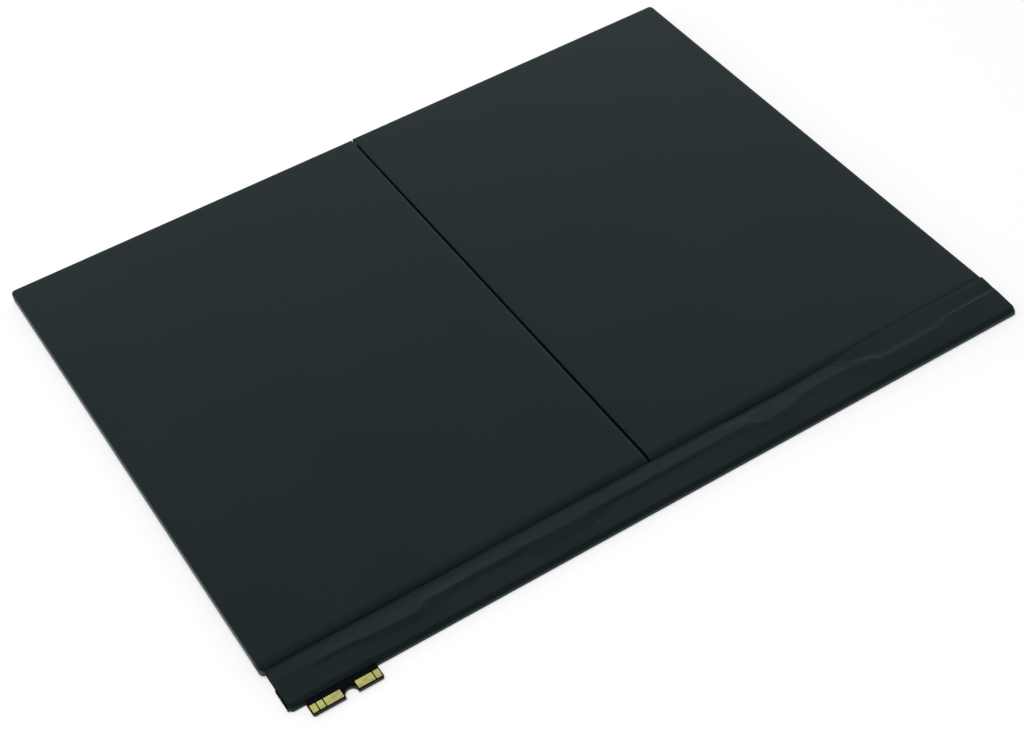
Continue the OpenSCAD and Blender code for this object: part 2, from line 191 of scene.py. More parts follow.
def only_this(piece):
    """Deselects everything else and makes the piece the one that is worked on."""
    if bpy.context.object and bpy.context.object.mode == "EDIT":
        bpy.ops.object.mode_set(mode="OBJECT")
    bpy.ops.object.select_all(action="DESELECT")
    piece.select_set(True)
    bpy.context.view_layer.objects.active = piece


def pick(piece, kind, test):
    """In edit mode, selects only the vertices, edges or faces that the test names."""
    bpy.ops.mesh.select_mode(type=kind)
    bpy.ops.mesh.select_all(action="DESELECT")
    mesh = bmesh.from_edit_mesh(piece.data)
    parts = {"VERT": mesh.verts, "EDGE": mesh.edges, "FACE": mesh.faces}[kind]
    for part in parts:
        if test(part):
            part.select_set(True)
    mesh.select_flush_mode()
    bmesh.update_edit_mesh(piece.data)


def block(name, low, high):
    """A block between two corners, with its place in its mesh, left in edit mode."""
    low, high = Vector(low), Vector(high)
    bpy.ops.object.select_all(action="DESELECT")
    bpy.ops.mesh.primitive_cube_add(size=1, location=(low + high) / 2, scale=high - low)
    piece = bpy.context.object
    piece.name = piece.data.name = name
    bpy.ops.object.transform_apply(location=True, rotation=True, scale=True)
    bpy.ops.object.mode_set(mode="EDIT")
    return piece


def cut(place, normal):
    """In edit mode, cuts the whole mesh along a plane without parting it."""
    bpy.ops.mesh.select_all(action="SELECT")
    bpy.ops.mesh.bisect(plane_co=place, plane_no=normal)


def round_rim(piece, height, radius, steps):
    """Rounds the rim of a flat face that lies at a height."""
    def on_rim(edge):
        return all(abs(v.co.z - height) < 1e-7 for v in edge.verts)

    pick(piece, "EDGE", on_rim)
    bpy.ops.mesh.bevel(offset=radius, segments=steps, affect="EDGES")


def round_corners(piece, radius, steps, test=lambda v: True):
    """Rounds a block's upright edges."""
    def upright(edge):
        a, b = (v.co for v in edge.verts)
        return (a - b).xy.length < 1e-7 and test(a)

    pick(piece, "EDGE", upright)
    bpy.ops.mesh.bevel(offset=radius, segments=steps, affect="EDGES")


def apply_modifier(piece, kind, **settings):
    only_this(piece)
    modifier = piece.modifiers.new(kind.title(), kind)
    for key, value in settings.items():
        setattr(modifier, key, value)
    bpy.ops.object.modifier_apply(modifier=modifier.name)


def join_solids(piece, others):
    """Makes one closed solid of a piece and the others that run into it."""
    for other in others:
        if other.mode == "EDIT":
            bpy.ops.object.mode_set(mode="OBJECT")
        apply_modifier(piece, "BOOLEAN", operation="UNION", solver="EXACT", object=other)
        bpy.data.objects.remove(other)


def dress(piece, material, node, smooth=32):
    """Gives a finished piece its material and its body, and hides the CAD node that it stands for.
    """
    only_this(piece)
    piece.data.materials.clear()
    piece.data.materials.append(material)
    bpy.ops.object.shade_smooth_by_angle(angle=math.radians(smooth))
    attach(piece, "root")
    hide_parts(node)


cell_rim = 0.4 * mm
cell_foot_rim = 0.3 * mm
cell_corner = 1.1 * mm
cell_wall = 10.3 * mm
left_cell_slant = 0.25 * mm
gap_left = -0.12 * mm
gap_right = 0.55 * mm
gap_corner = 0.15 * mm
gap_flare = 0.18 * mm
gap_flare_wide = 1.2 * mm
gap_flare_long = 5 * mm
crown_wide = 2.6 * mm
crown_drop = 0.05 * mm
crown_steps = 5
tuck = 0.2 * mm
tuck_top = 2.25 * mm
tuck_foot = 2.05 * mm
seam_thick = 0.3 * mm
seam_low = 0.4 * mm
seam_high = 2.1 * mm
seam_end = 3 * mm
seam_lean = 0.06 * mm
seam_wave = 0.05 * mm
seam_waves = Vector((90, 90, 290))
seam_round = 0.08 * mm
seam_steps = 40
terrace_thick = 0.2 * mm
terrace_inset = 1.6 * mm
shoulder_run = 2.3 * mm
shoulder_drop = 1.1 * mm
shoulder_steps = 11
film_shade = colour(24, 30, 32)
film_dust = colour(30, 38, 40)
film_roughness = 0.42
film_grain = 0.012 * mm
strip_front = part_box("strip_wrapping_tape")[0].y
pouch_wall = strip_front + cell_wall


def shoulder_height(y, top):
    """How high the pouch stands at a distance behind its front wall."""
    share = min(1.0, max(0.0, (pouch_wall + shoulder_run - y) / shoulder_run))
    return top - shoulder_drop * (1 - math.sqrt(1 - share * share))


def pouch_body(name, left_side, right_side, slant):
    """The formed box over the stack: a round shoulder in front and a soft crown elsewhere."""
    low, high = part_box(name)
    body = block(name + "_body", (left_side, pouch_wall, low.z), (right_side, high.y, high.z))
    round_corners(body, cell_corner, 6, lambda at: abs(at.x) > 10 * mm)
    round_corners(body, gap_corner, 4, lambda at: abs(at.x) < 10 * mm)
    round_rim(body, high.z, cell_rim, 5)
    round_rim(body, low.z, cell_foot_rim, 3)
    for step in range(1, shoulder_steps + 1):
        reach = shoulder_run * (1 - math.cos(math.pi / 2 * step / shoulder_steps))
        cut((0, pouch_wall + reach, 0), (0, 1, 0))
    for step in range(1, crown_steps + 1):
        reach = cell_rim + (crown_wide - cell_rim) * step / crown_steps
        cut((left_side + reach, 0, 0), (1, 0, 0))
        cut((right_side - reach, 0, 0), (1, 0, 0))
        cut((0, high.y - reach, 0), (0, 1, 0))
    for height in (tuck_top, tuck_foot):
        cut((0, 0, height), (0, 0, 1))
    bpy.ops.object.mode_set(mode="OBJECT")
    middle = (low.z + high.z) / 2
    for vertex in body.data.vertices:
        at = vertex.co
        beside = min(at.x - left_side, right_side - at.x)
        inside = min(beside, high.y - at.y)
        if at.z > tuck_top + 1e-6:
            lowered = shoulder_height(at.y, high.z)
            lowered -= crown_drop * max(0.0, 1 - inside / crown_wide) ** 2
            at.z = middle + (at.z - middle) * (lowered - middle) / (high.z - middle)
        elif at.z > middle:
            lowered = min(at.z, shoulder_height(at.y, high.z))
            at.z = max(middle, lowered)
        if at.z < tuck_foot + 1e-6 and beside < 1e-5:
            at.x += tuck if at.x - left_side < 1e-5 else -tuck
        across = (at.x - left_side) / (right_side - left_side)
        if abs(at.x) < gap_flare_wide:
            flare = gap_flare * max(0.0, 1 - (high.y - at.y) / gap_flare_long)
            at.x += flare if right_side == gap_left else -flare
        at.y -= slant * across * (at.y - pouch_wall) / (high.y - pouch_wall)
    return body


def sealed_terrace(name):
    """The flat seal in front of the formed box, on which the tabs come out."""
    low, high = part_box(name)
    terrace = block(
        name + "_terrace",
        (low.x + terrace_inset, low.y, low.z),
        (high.x - terrace_inset, pouch_wall + 2 * cell_corner, low.z + terrace_thick),
    )
    round_corners(terrace, cell_corner, 5)
    bpy.ops.object.mode_set(mode="OBJECT")
    return terrace


def folded_seam(name, x, lean, slant):
    """A side seam folded up against the box, a little wavy on its outer face."""
    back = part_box(name)[1].y
    seam = block(
        name + "_seam",
        (x, pouch_wall + seam_end, seam_low),
        (x + 2 * seam_thick, back - seam_end - slant, seam_high),
    )
    for step in range(1, seam_steps):
        share = step / seam_steps
        cut((0, pouch_wall + seam_end + (back - pouch_wall - 2 * seam_end) * share, 0), (0, 1, 0))
    bpy.ops.object.mode_set(mode="OBJECT")
    for vertex in seam.data.vertices:
        outer = (vertex.co.x - x < 1e-6) if lean > 0 else (vertex.co.x > x + seam_thick)
        if outer:
            vertex.co.x += noise.noise(vertex.co * seam_waves) * seam_wave + lean
    apply_modifier(seam, "BEVEL", width=seam_round, segments=2, limit_method="ANGLE")
    return seam


def pouch_cell(name, left_side, right_side, slant):
    body = pouch_body(name, left_side, right_side, slant)
    terrace = sealed_terrace(name)
    left_seam = folded_seam(name, left_side, seam_lean, slant)
    right_seam = folded_seam(name, right_side - 2 * seam_thick, -seam_lean, slant)
    join_solids(body, [terrace, left_seam, right_seam])
    body.name = body.data.name = name + "_pouch"
    return body


cell_finish = black_film("cell_film", film_shade, film_dust, film_roughness, film_grain)
left_cell = pouch_cell("cell_left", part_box("cell_left")[0].x, gap_left, left_cell_slant)
dress(left_cell, cell_finish, "cell_left")
right_cell = pouch_cell("cell_right", gap_right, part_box("cell_right")[1].x, 0)
dress(right_cell, cell_finish, "cell_right")


# The protection board: one long strip of black glass-fibre laminate, milled to its outline.
# Its left end runs forward into the contact tongue, which has a half-round screw notch.
board_inset = 0.35 * mm
board_edge = 0.04 * mm
tongue_corner = 0.45 * mm
tongue_lap = 1 * mm
notch_radius = 1.4 * mm
notch_depth = 0.3 * mm
cut_reach = 3 * mm
mask_shade = colour(5, 7, 9)
mask_light = colour(10, 13, 14)
laminate_shade = colour(60, 64, 60)
laminate_light = colour(88, 92, 86)

power_low, power_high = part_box("power_contact_pads")
board_low, board_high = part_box("protection_board")
tape_low, tape_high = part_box("strip_wrapping_tape")
notch_x = (power_low.x + power_high.x) / 2

board = block(
    "protection_board_body",
    (board_low.x, tape_low.y + board_inset, board_low.z),
    board_high,
)
bpy.ops.object.mode_set(mode="OBJECT")
cad_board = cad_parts["protection_board"].data.vertices
tongue_x = sorted({round(v.co.x, 5) for v in cad_board if v.co.y < tape_low.y - tongue_lap})
tongue_left, tongue_right = tongue_x[0], tongue_x[-1]
tongue = block(
    "tongue",
    (tongue_left, board_low.y, board_low.z),
    (tongue_right, tape_low.y + tongue_lap, board_high.z),
)
round_corners(tongue, tongue_corner, 5, lambda at: at.y < tape_low.y)
bpy.ops.object.mode_set(mode="OBJECT")
join_solids(board, [tongue])

bpy.ops.object.select_all(action="DESELECT")
bpy.ops.mesh.primitive_cylinder_add(
    vertices=48, radius=notch_radius, depth=2 * cut_reach,
    location=(notch_x, board_low.y + notch_depth, board_high.z),
)
cutter = bpy.context.object
mouth = block(
    "mouth",
    (notch_x - notch_radius, board_low.y - cut_reach, -cut_reach),
    (notch_x + notch_radius, board_low.y + notch_depth, cut_reach),
)
bpy.ops.object.mode_set(mode="OBJECT")
for tool in (cutter, mouth):
    apply_modifier(board, "BOOLEAN", operation="DIFFERENCE", solver="EXACT", object=tool)
    bpy.data.objects.remove(tool)
apply_modifier(board, "BEVEL", width=board_edge, segments=2, limit_method="ANGLE")
board.name = board.data.name = "protection_board_laminate"

finish = Finish("board_black")
normal = finish.add("ShaderNodeNewGeometry").outputs["Normal"]
upward = Number(finish, finish.add("ShaderNodeSeparateXYZ", None, normal).outputs[2])
milled = 1 - finish.ramp(upward.maths("ABSOLUTE", upward), 0.3, 0.9)
layers = finish.add(
    "ShaderNodeTexWave", {"wave_type": "BANDS", "bands_direction": "Z"},
    Vector=finish.place, Scale=1800.0, Distortion=2.0, Detail=2.0,
)
fibres = Number(finish, layers.outputs[1]) * 0.5 + finish.noise(0.2 * mm, 3, 0.6, (1, 1, 4)) * 0.5
laminate = finish.mix(fibres, laminate_shade, laminate_light)
mask = finish.mix(finish.noise(1.5 * mm, 3), mask_shade, mask_light)
finish.set(
    Base_Color=finish.mix(milled, mask, laminate),
    Roughness=0.38 + milled * 0.4,
    Specular_IOR_Level=0.14,
    Specular_Tint=(0.6, 0.95, 1.0, 1.0),
)
finish.bump(finish.noise(0.3 * mm, 3) + fibres * milled * 2, 0.01 * mm)
dress(board, finish.material, "protection_board")


# The contact pads: pale gold plating on the tongue, three wide and narrow pads left of the
# notch and two right of it, with bare solder mask between them.
pad_corner = 0.12 * mm
pad_rim = 0.02 * mm


def gold_plating():
    finish = Finish("gold_plating")
    clouds = finish.ramp(finish.noise(1.6 * mm, 4, 0.6), 0.36, 0.64)
    scratches = finish.ramp(finish.noise(0.6 * mm, 4, 0.7, (0.25, 2.5, 1)), 0.55, 0.7)
    tint = finish.mix(clouds, colour(214, 219, 114), colour(190, 178, 124))
    finish.set(
        Base_Color=finish.mix(scratches * 0.35, tint, colour(238, 236, 184)),
        Metallic=0.15,
        Roughness=0.42 + clouds * 0.12 - scratches * 0.08,
    )
    finish.bump(scratches + finish.noise(0.12 * mm, 2) * 0.6, 0.006 * mm)
    return finish.material


def split_boxes(node):
    """The low and high corners of each separate solid of a CAD node, from left to right."""
    mesh = bmesh.new()
    mesh.from_mesh(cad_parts[node].data)
    bmesh.ops.remove_doubles(mesh, verts=mesh.verts, dist=1e-6)
    found, seen = [], set()
    for start in mesh.verts:
        if start in seen:
            continue
        group, queue = [], [start]
        seen.add(start)
        while queue:
            vertex = queue.pop()
            group.append(vertex.co.copy())
            for edge in vertex.link_edges:
                other = edge.other_vert(vertex)
                if other not in seen:
                    seen.add(other)
                    queue.append(other)
        lows = Vector(min(v[i] for v in group) for i in range(3))
        highs = Vector(max(v[i] for v in group) for i in range(3))
        found.append((lows, highs))
    mesh.free()
    return sorted(found, key=lambda pair: pair[0].x)


def plated_pads(node):
    """One object with a pad for each solid of a CAD node, with round corners and top rim."""
    name = node + "_plated"
    made = []
    for low, high in split_boxes(node):
        pad = block(name, low, high)
        round_corners(pad, pad_corner, 3)
        round_rim(pad, high.z, pad_rim, 2)
        bpy.ops.object.mode_set(mode="OBJECT")
        made.append(pad)
    only_this(made[0])
    for pad in made:
        pad.select_set(True)
    bpy.ops.object.join()
    made[0].name = made[0].data.name = name
    return made[0]


gold = gold_plating()
for node in ("power_contact_pads", "signal_contact_pads"):
    dress(plated_pads(node), gold, node)


# The wrapping tape: thin black polyester tape, folded over the whole strip by hand, so it is
# pressed into the corner in front of the cells, arches over the terraces and wrinkles there.
# Places on it are in millimetres: along from the tape's left end, and back from its front edge.
tape_thick = 0.08
edge_thick = 0.015
edge_thin_rows = 5
tape_under = 14.7
end_inset = 0.06
end_roll = 0.35
end_corner = 0.75
start_corner = 1.2
start_corner_depth = 0.6
corner_reach = 3.5
low_round = 0.12
front_lean = 0.2
calm_reach = 1.2
softness = 0.16
along_step = 0.45
row_count_top = 88
tape_long = (tape_high.x - tape_low.x) / mm - end_inset

# Lines that run along the tape, each as distance along, distance back and height:
# its rear edge on the cells' shoulders, the crease, a bridged hollow, the ridge, the foot
# and the deck's front
edge_line = [(0, 10.34, 1.82), (35, 10.34, 1.82), (61, 10.42, 1.94), (108, 10.42, 1.94),
             (114, 10.36, 1.84), (124, 10.36, 1.84), (130, 10.42, 1.94), (139, 10.6, 2.12),
             (144, 11.0, 2.4), (150, 11.3, 2.52), (154, 11.45, 2.58), (184, 11.5, 2.6)]
crease_line = [(0, 9.9, 1.76), (35, 9.85, 1.76), (61, 9.95, 1.9), (108, 9.95, 1.9),
               (114, 9.85, 1.78), (124, 9.85, 1.78), (130, 9.95, 1.88), (139, 10.1, 2.06),
               (144, 10.6, 2.38), (150, 10.8, 2.5), (154, 10.5, 2.55), (184, 10.4, 2.58)]
hollow_line = [(0, 8.5, 1.82), (8, 8.5, 1.85), (35, 8.4, 1.85), (61, 8.4, 2.03), (108, 8.6, 2.03),
               (124, 8.3, 1.93), (139, 9.0, 2.13), (144, 8.6, 2.2), (148, 7.5, 2.24),
               (151, 6.7, 2.26), (164, 6.6, 2.26), (168, 7.3, 2.28), (184, 7.55, 2.3)]
ridge_line = [(0, 6.9, 1.88), (6, 6.8, 1.9), (9, 6.3, 2.02), (12, 6.3, 2.1), (17, 6.2, 2.12),
              (21, 5.6, 2.18), (24, 5.3, 2.21), (28, 5.2, 2.22), (32.4, 5.3, 2.2),
              (34.2, 6.7, 2.17), (41, 6.6, 2.17), (57, 6.6, 2.2), (69, 6.5, 2.19), (76, 6.6, 2.18),
              (91, 6.55, 2.18), (101, 6.7, 2.19), (106, 6.9, 2.18), (114.2, 7.05, 2.17),
              (116.4, 5.85, 2.17), (118.7, 5.1, 2.17), (122, 5.4, 2.17), (127, 6.3, 2.18),
              (129.2, 7.0, 2.2), (136, 7.2, 2.23), (142, 7.1, 2.3), (146, 6.5, 2.34),
              (149, 5.0, 2.36), (158, 4.9, 2.36), (165, 5.1, 2.36), (167.5, 5.9, 2.36),
              (169.5, 6.55, 2.36), (184, 6.6, 2.36)]
foot_line = [(0, 5.6, 1.82), (6, 5.5, 1.82), (9, 5.5, 1.76), (18, 5.4, 1.75), (21, 4.4, 1.74),
             (23, 3.4, 1.73), (34, 3.2, 1.73), (37.5, 3.5, 1.74), (39.4, 5.2, 1.77),
             (46, 5.45, 1.78), (57, 5.4, 1.78), (60, 3.3, 1.76), (72, 3.5, 1.76), (74.5, 4.6, 1.79),
             (77, 5.6, 1.84), (101, 5.7, 1.86), (104, 5.4, 1.94), (112, 5.3, 1.96),
             (116, 4.2, 1.96), (119, 3.7, 1.94), (125, 4.0, 1.95), (129, 5.2, 2.0),
             (131, 5.4, 2.04), (141, 5.3, 2.06), (146, 4.8, 2.18), (149, 3.7, 2.18),
             (166, 3.7, 2.18), (169, 5.0, 2.2), (184, 5.0, 2.2)]
deck_line = [(0, 0.9, 1.64), (2.2, 0.9, 1.64), (4.2, 1.3, 1.58), (18.4, 1.3, 1.58), (21, 0.9, 1.65),
             (120, 0.9, 1.67), (141, 0.9, 1.74), (150, 0.9, 1.8), (184, 0.9, 1.8)]
# The front from the brow down, as shares of the brow's distance back and of its height
front_back = [1, 0.93, 0.8, 0.6, 0.4, 0.2, 0.07, 0.01, 0]
front_height = [1, 0.985, 0.93, 0.82, 0.69, 0.54, 0.4, 0.22, 0]
# Small sharp wrinkles: points of each, its height and its width
wrinkles = [
    ([(8.5, 6.0), (12, 5.8), (18.6, 5.5)], -0.025, 0.2),
    ([(33.2, 6.4), (34.0, 5.6), (35.2, 4.6)], 0.035, 0.3),
    ([(38.0, 3.4), (38.8, 4.4), (39.2, 5.6)], -0.03, 0.25),
    ([(74.0, 3.4), (74.8, 4.3), (75.4, 5.0)], -0.07, 0.32),
    ([(129.9, 4.3), (130.3, 6.0)], -0.07, 0.32),
    ([(55.5, 7.3), (57.5, 7.0), (60, 7.1)], 0.03, 0.2),
    ([(71, 10.0), (73, 8.9), (73.6, 8.0)], 0.03, 0.35),
    ([(94, 7.5), (98, 7.45), (103, 7.55)], 0.03, 0.2),
    ([(111.8, 8.7), (113.5, 8.1), (115.2, 7.4)], 0.04, 0.25),
    ([(139.5, 10.2), (141.5, 9.0), (143.5, 7.7)], 0.05, 0.32),
    ([(145.6, 7.3), (147.3, 6.4), (149.2, 5.5)], 0.045, 0.3),
    ([(150, 5.4), (158, 5.2), (165, 5.4)], 0.02, 0.24),
    ([(169, 6.8), (173, 6.7), (183, 6.75)], 0.03, 0.25),
    ([(167.6, 5.5), (168.3, 6.1), (168.8, 6.7)], -0.04, 0.25),
    ([(12, 9.4), (24, 8.0), (30, 6.4)], 0.02, 0.6),
    ([(52, 8.4), (56, 7.4), (60, 6.9)], 0.025, 0.5),
    ([(110, 4.6), (121, 3.4), (126, 3.0)], 0.015, 0.4),
]
wrinkle_fade = 0.3
wrinkle_least = 0.25
# The tape's unevenness: height of each ripple, how often it comes along and across, its seed
ripples = [(0.026, 0.16, 0.35, 3.1), (0.014, 0.5, 0.9, 7.7), (0.006, 1.5, 2.1, 1.3)]
# How far the folds sway, how often along the tape, and the seed of each sway
fold_sways = [(0.13, 0.22, 0.5), (0.11, 0.8, 4.5)]


def along_line(line, along):
    """A line's distance back and height along the tape, smooth between its points."""
    x, back, height = np.array(line, float).T
    where = np.clip(np.searchsorted(x, along) - 1, 0, len(x) - 2)
    share = np.clip((along - x[where]) / (x[where + 1] - x[where]), 0, 1)
    share = share * share * (3 - 2 * share)
    return (
        back[where] + (back[where + 1] - back[where]) * share,
        height[where] + (height[where + 1] - height[where]) * share,
    )


def wrinkle_height(along, back, path, height, width):
    """A small ridge or groove that follows a path and fades out at its ends."""
    points = np.array(path, float)
    lengths = np.linalg.norm(np.diff(points, axis=0), axis=1)
    gone = np.concatenate([[0], np.cumsum(lengths)])
    nearest = np.full_like(back, 1e9)
    run = np.zeros_like(back)
    for i, (start, end) in enumerate(zip(points[:-1], points[1:])):
        leg = end - start
        share = ((along - start[0]) * leg[0] + (back - start[1]) * leg[1]) / (leg @ leg)
        share = np.clip(share, 0, 1)
        apart = np.hypot(along - start[0] - share * leg[0], back - start[1] - share * leg[1])
        closer = apart < nearest
        nearest = np.where(closer, apart, nearest)
        run = np.where(closer, gone[i] + share * lengths[i], run)
    fade = np.clip(np.minimum(run, gone[-1] - run) / (wrinkle_fade * (gone[-1] + 1)), 0, 1)
    strength = wrinkle_least + (1 - wrinkle_least) * np.sqrt(fade)
    return height * np.exp(-((nearest / width) ** 2)) * strength


def ripple(along, back):
    """Faint unevenness of tape that was laid by hand."""
    places = list(zip(along.ravel(), back.ravel()))
    total = np.zeros_like(along)
    for rise, often, across, seed in ripples:
        waves = [noise.noise((a * often, b * across, seed)) for a, b in places]
        total += rise * np.reshape(waves, along.shape)
    return total


def soften(heights, spacing):
    """Rounds the folds of one section with a small bell-shaped average."""
    reach = int(3 * softness / spacing)
    weights = np.exp(-0.5 * (np.arange(-reach, reach + 1) * spacing / softness) ** 2)
    before = heights[0] + (heights[0] - heights[1]) * np.arange(reach, 0, -1)
    after = heights[-1] + (heights[-1] - heights[-2]) * np.arange(1, reach + 1)
    padded = np.concatenate([before, heights, after])
    return np.convolve(padded, weights / weights.sum(), "valid")


def wavering(stations, fold):
    """The unsteady course of a fold made by hand, in millimetres."""
    course = np.zeros_like(stations)
    for sway, often, seed in fold_sways:
        course += sway * np.array([noise.noise((s * often, fold, seed)) for s in stations])
    return course


def top_surface(stations):
    """Distance back and height of the tape's top, from its rear edge to its front round."""
    lines = [along_line(line, stations) for line in
             (edge_line, crease_line, hollow_line, ridge_line, foot_line, deck_line)]
    for fold, (back, _) in enumerate(lines[1:5]):
        back += wavering(stations, 10.0 * fold)
    share = np.linspace(0, 1, row_count_top)
    backs = lines[0][0][:, None] + (lines[5][0] - lines[0][0])[:, None] * share
    heights = np.zeros_like(backs)
    for i in range(len(stations)):
        y = [line[0][i] for line in lines]
        z = [line[1][i] for line in lines]
        plain = np.interp(backs[i], y[::-1], z[::-1])
        heights[i] = soften(plain, backs[i, 0] - backs[i, 1])
    along = np.repeat(stations[:, None], row_count_top, axis=1)
    calm = np.clip((backs[:, :1] - backs) / calm_reach, 0, 1)
    calm *= np.clip((backs - front_lean) / calm_reach, 0, 1)
    for path, rise, width in wrinkles:
        heights += calm * wrinkle_height(along, backs, path, rise, width)
    return backs, heights + calm * ripple(along, backs)


front_steps = len(front_back) - 1
low_steps = 5
under_rows = [0.8, 2.5, 6, 10, tape_under]
straight = tape_long - end_roll
columns = int(straight / along_step)
roll_steps = 5
row_count = row_count_top + front_steps + 1 + low_steps + len(under_rows)
column_count = columns + 1 + roll_steps

bpy.ops.object.select_all(action="DESELECT")
bpy.ops.mesh.primitive_grid_add(
    x_subdivisions=column_count - 1, y_subdivisions=row_count - 1, size=1
)
tape = bpy.context.object
tape.name = tape.data.name = "wrapping_tape_folded"

stations = np.concatenate([
    np.linspace(0, straight, columns + 1),
    straight + end_roll * np.sin(np.pi / 2 * np.arange(1, roll_steps + 1) / roll_steps),
])
sinks = np.concatenate([
    np.zeros(columns + 1),
    end_roll * (1 - np.cos(np.pi / 2 * np.arange(1, roll_steps + 1) / roll_steps)),
])
corner_share = np.clip((stations - (tape_long - end_corner)) / end_corner, 0, 1)
corner_back = end_corner * (1 - np.sqrt(1 - corner_share**2))
start_share = np.clip(1 - stations / start_corner, 0, 1)
corner_back += start_corner_depth * (1 - np.sqrt(1 - start_share**2))

sections = np.zeros((column_count, row_count, 2))
sections[:, :row_count_top, 0], sections[:, :row_count_top, 1] = top_surface(stations)
start = row_count_top - 1
brow, lip = sections[:, start, 0].copy(), sections[:, start, 1].copy()
for i in range(1, front_steps + 1):
    sections[:, start + i, 0] = (brow + front_lean) * front_back[i] - front_lean
    sections[:, start + i, 1] = low_round + (lip - low_round) * front_height[i]
start += front_steps + 1
for i in range(low_steps + 1):
    turn = math.pi / 2 * i / low_steps
    sections[:, start + i, 0] = low_round * (1 - math.cos(turn)) - front_lean
    sections[:, start + i, 1] = low_round * (1 - math.sin(turn))
start += low_steps + 1
for i, back in enumerate(under_rows):
    sections[:, start + i, 0] = back
    sections[:, start + i, 1] = 0
near_front = np.clip(1 - sections[:, :, 0] / corner_reach, 0, 1)
sections[:, :, 0] += corner_back[:, None] * near_front
ahead = np.roll(sections, -1, axis=1) - np.roll(sections, 1, axis=1)
ahead[:, 0] = sections[:, 1] - sections[:, 0]
ahead[:, -1] = sections[:, -1] - sections[:, -2]
ahead /= np.linalg.norm(ahead, axis=2, keepdims=True)
inward = np.stack([-ahead[:, :, 1], ahead[:, :, 0]], axis=2)
inward[:, start:, :] = (0, 1)
sections += inward * sinks[:, None, None]

order = sorted(range(len(tape.data.vertices)), key=lambda i: (
    round(tape.data.vertices[i].co.x, 5), -round(tape.data.vertices[i].co.y, 5)))
for index, vertex in enumerate(order):
    column, row = divmod(index, row_count)
    back, height = sections[column, row]
    tape.data.vertices[vertex].co = (
        tape_low.x + stations[column] * mm,
        tape_low.y + back * mm,
        height * mm,
    )
tape.data.update()

only_this(tape)
bpy.ops.object.mode_set(mode="EDIT")
end_x = tape_low.x + tape_long * mm


def on_end(edge):
    return all(abs(v.co.x - end_x) < 1e-7 for v in edge.verts)


pick(tape, "EDGE", on_end)
bpy.ops.mesh.edge_face_add()
bpy.ops.mesh.select_all(action="SELECT")
bpy.ops.mesh.normals_make_consistent(inside=True)
bpy.ops.object.mode_set(mode="OBJECT")

thick_group = tape.vertex_groups.new(name="thickness")
rank = {vertex: index for index, vertex in enumerate(order)}
for vertex in tape.data.vertices:
    row = rank[vertex.index] % row_count
    thinnest = edge_thick / tape_thick
    share = thinnest + (1 - thinnest) * min(1.0, row / edge_thin_rows)
    thick_group.add([vertex.index], share, "REPLACE")
apply_modifier(
    tape, "SOLIDIFY", thickness=tape_thick * mm, offset=-1, vertex_group="thickness",
    use_even_offset=False,
)

# The slot in the tape's front fold, through which the tongue comes out
slot_side = 0.15 * mm
slot_rise = 0.12 * mm
slot_depth = 0.42 * mm
slot_foot = (tape_thick + 0.01) * mm
slot_cutter = block(
    "slot",
    (tongue_left - slot_side, tape_low.y - mm, slot_foot),
    (tongue_right + slot_side, tape_low.y + slot_depth, board_high.z + slot_rise),
)
bpy.ops.object.mode_set(mode="OBJECT")
apply_modifier(tape, "BOOLEAN", operation="DIFFERENCE", solver="EXACT", object=slot_cutter)
bpy.data.objects.remove(slot_cutter)

tape_roughness = 0.38
tape_grain = 0.01 * mm
tape_finish = black_film("black_tape", film_shade, film_dust, tape_roughness, tape_grain)
dress(tape, tape_finish, "strip_wrapping_tape", 40)


# The joining tape: a strip of the same black tape stuck below the gap, from cell to cell.
joining_longer = 0.45 * mm
joining_corner = 0.8 * mm
joining_waver = 0.25 * mm
joining_steps = 60
join_low, join_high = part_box("cell_joining_tape")
join_low.y -= joining_longer
join_high.y += joining_longer
joining = block("joining_tape_strip", join_low, join_high)
for step in range(1, joining_steps):
    cut((0, join_low.y + (join_high.y - join_low.y) * step / joining_steps, 0), (0, 1, 0))
round_corners(joining, joining_corner, 4)
bpy.ops.object.mode_set(mode="OBJECT")
for vertex in joining.data.vertices:
    side = 1 if vertex.co.x > 0 else -1
    vertex.co.x -= side * abs(noise.noise(vertex.co * 160)) * joining_waver
dress(joining, tape_finish, "cell_joining_tape")


# The pieces under the tape keep their own solids, each with the finish of its real material:
# tabs, sealing films, weld plates, chips, insulating tapes and foam.
def plain_metal(name, shade, bright, roughness):
    finish = Finish(name)
    rolling = finish.noise(0.8 * mm, 3, 0.6, (6, 0.3, 1))
    stains = finish.ramp(finish.noise(4 * mm, 3), 0.5, 0.8)
    finish.set(
        Base_Color=finish.mix(rolling * 0.6 + stains * 0.2, shade, bright),
        Metallic=1.0,
        Roughness=roughness + rolling * 0.12 + stains * 0.08,
    )
    finish.bump(rolling, 0.004 * mm)
    return finish.material


def plain_body(name, shade, other, roughness, grain_wide, grain_deep):
    """A finish with one grain, whose width and depth are in millimetres."""
    finish = Finish(name)
    grain = finish.noise(grain_wide * mm, 4, 0.6)
    finish.set(
        Base_Color=finish.mix(grain, shade, other),
        Roughness=roughness + grain * 0.1,
        Specular_IOR_Level=0.5,
    )
    finish.bump(grain, grain_deep * mm)
    return finish.material


